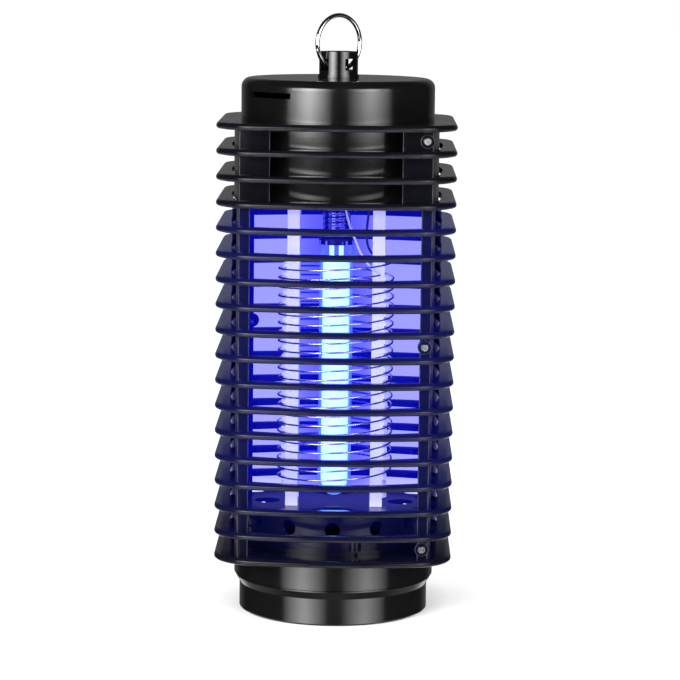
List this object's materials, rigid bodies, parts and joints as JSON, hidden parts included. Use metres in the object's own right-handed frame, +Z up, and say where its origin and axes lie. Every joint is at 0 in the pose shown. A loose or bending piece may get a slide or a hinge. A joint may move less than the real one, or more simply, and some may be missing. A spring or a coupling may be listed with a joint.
{
  "type": "electric bug zapper",
  "caption": "Lantern-shaped electric insect killer with a louvred square cage, a UV lamp inside a high voltage wire grid, a hanging ring and a twist-off catch tray.",
  "frame": {"origin": "centre of the flat underside of the catch tray", "axes": "+Z up the lamp axis, -Y towards the front, where the cage screws are at the right, +X to the right"},
  "size_m": [0.108, 0.11, 0.2756],
  "materials": {
    "black_plastic": "satin gloss",
    "cage_plastic": "gloss",
    "rubber": "matt",
    "chrome": "polished",
    "screw_steel": "zinc plated",
    "nickel": "nickel plated",
    "contact_brass": "plain",
    "lamp_collar_plastic": "gloss",
    "clear_glass": "clear",
    "glowing_tube": "glowing white blue",
    "white_plastic": "satin",
    "grid_steel": "bright wire",
    "pale_insulation": "satin",
    "dark_insulation": "satin",
    "board_laminate": "solder mask",
    "capacitor_resin": "dipped",
    "diode_resin": "moulded",
    "resistor_body": "lacquered",
    "terminal_plastic": "satin"
  },
  "bodies": {
    "housing": {"top_cap": "black_plastic", "hanger_post": "black_plastic", "lamp_housing": "black_plastic", "lamp_holder": "black_plastic", "base_collar": "black_plastic", "shell_front_left": "cage_plastic", "shell_back_right": "cage_plastic", "louvres_front_left": "cage_plastic", "louvres_back_right": "cage_plastic", "grid_base": "cage_plastic", "cord_grommet": "rubber", "cap_screws": "screw_steel", "board_screws": "screw_steel", "shell_screws": "screw_steel", "base_screws": "screw_steel", "holder_sleeve": "nickel", "holder_contact": "contact_brass", "grid_post_front_left": "white_plastic", "grid_post_front_right": "white_plastic", "grid_post_back_left": "white_plastic", "grid_post_back_right": "white_plastic", "grid_wire_live": "grid_steel", "grid_wire_return": "grid_steel", "live_lead": "pale_insulation", "return_lead": "dark_insulation", "circuit_board": "board_laminate", "capacitors": "capacitor_resin", "diodes": "diode_resin", "resistors": "resistor_body", "terminal_block": "terminal_plastic"},
    "hanger": {"hanging_ring": "chrome"},
    "lamp": {"lamp_base": "nickel", "lamp_contact": "contact_brass", "lamp_collar": "lamp_collar_plastic", "lamp_band": "chrome", "lamp_glass": "clear_glass", "lamp_tube": "glowing_tube", "lamp_legs": "glowing_tube"},
    "tray": {"catch_tray": "black_plastic"}
  },
  "joints": [
    {"name": "hanger_swing", "type": "hinge", "parent": "housing", "child": "hanger", "pos_m": [0, 0, 0.2525], "axis": [0.766, 0.6428, 0], "range_deg": [-100, 100]},
    {"name": "lamp_unscrew", "type": "hinge", "parent": "housing", "child": "lamp", "pos_m": [0, 0, 0.18], "axis": [0, 0, 1], "range_deg": [0, 1080]},
    {"name": "tray_twist", "type": "hinge", "parent": "housing", "child": "tray", "pos_m": [0, 0, 0.01], "axis": [0, 0, 1], "range_deg": [0, 36]}
  ]
}
